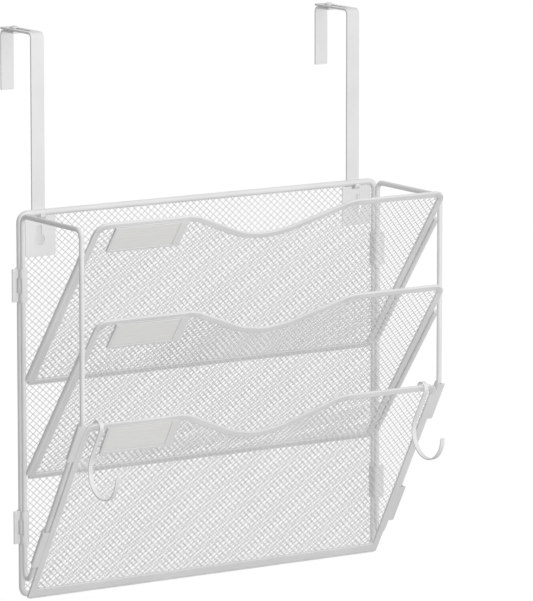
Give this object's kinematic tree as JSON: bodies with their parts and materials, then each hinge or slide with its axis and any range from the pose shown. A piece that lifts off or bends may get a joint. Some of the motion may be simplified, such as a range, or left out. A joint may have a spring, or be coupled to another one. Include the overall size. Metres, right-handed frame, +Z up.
{
  "type": "over-door mesh file organizer",
  "caption": "Mesh file organizer that hangs over a door: leaning pockets with dipped rims on a wire frame, hanger legs that slide to the door's thickness, and swinging hooks.",
  "frame": {"origin": "middle of the door's top front edge: between the hangers, on the plane of the arms' rear faces and of the flanges' undersides", "axes": "+X to the right as seen from the front, +Z up, the pockets open towards -Y"},
  "size_m": [0.3412, 0.1671, 0.4373],
  "materials": {
    "white_coat": "white powder coat on steel",
    "label_card": "blank card"
  },
  "bodies": {
    "organizer": {"back_frame_wire": "white_coat", "back_mesh": "white_coat", "keyhole_plate_left": "white_coat", "keyhole_plate_right": "white_coat", "clip_upper_left": "white_coat", "clip_upper_right": "white_coat", "clip_lower_left": "white_coat", "clip_lower_right": "white_coat", "side_loop_left": "white_coat", "side_loop_right": "white_coat", "support_wire_upper_left": "white_coat", "support_wire_upper_right": "white_coat", "support_wire_middle_left": "white_coat", "support_wire_middle_right": "white_coat", "pocket_rim_upper": "white_coat", "pocket_mesh_upper": "white_coat", "label_holder_upper": "white_coat", "label_card_upper": "label_card", "pocket_rim_middle": "white_coat", "pocket_mesh_middle": "white_coat", "label_holder_middle": "white_coat", "label_card_middle": "label_card", "pocket_rim_lower": "white_coat", "pocket_mesh_lower": "white_coat", "label_holder_lower": "white_coat", "label_card_lower": "label_card", "hanger_arm_left": "white_coat", "hanger_arm_right": "white_coat"},
    "hanger_leg_left": {"hanger_leg_left": "white_coat", "hanger_rivet_left": "white_coat"},
    "hanger_leg_right": {"hanger_leg_right": "white_coat", "hanger_rivet_right": "white_coat"},
    "s_hook_left": {"s_hook_left": "white_coat"},
    "s_hook_right": {"s_hook_right": "white_coat"}
  },
  "joints": [
    {"name": "leg_slide_left", "type": "slide", "parent": "organizer", "child": "hanger_leg_left", "axis": [0, -1, 0], "range_m": [0, 0.022]},
    {"name": "hook_swing_left", "type": "hinge", "parent": "organizer", "child": "s_hook_left", "pos_m": [-0.148, -0.09398, -0.28544], "axis": [-1, 0, 0], "range_deg": [0, 40]},
    {"name": "leg_slide_right", "type": "slide", "parent": "organizer", "child": "hanger_leg_right", "axis": [0, -1, 0], "range_m": [0, 0.022]},
    {"name": "hook_swing_right", "type": "hinge", "parent": "organizer", "child": "s_hook_right", "pos_m": [0.148, -0.09398, -0.28544], "axis": [-1, 0, 0], "range_deg": [0, 40]}
  ]
}
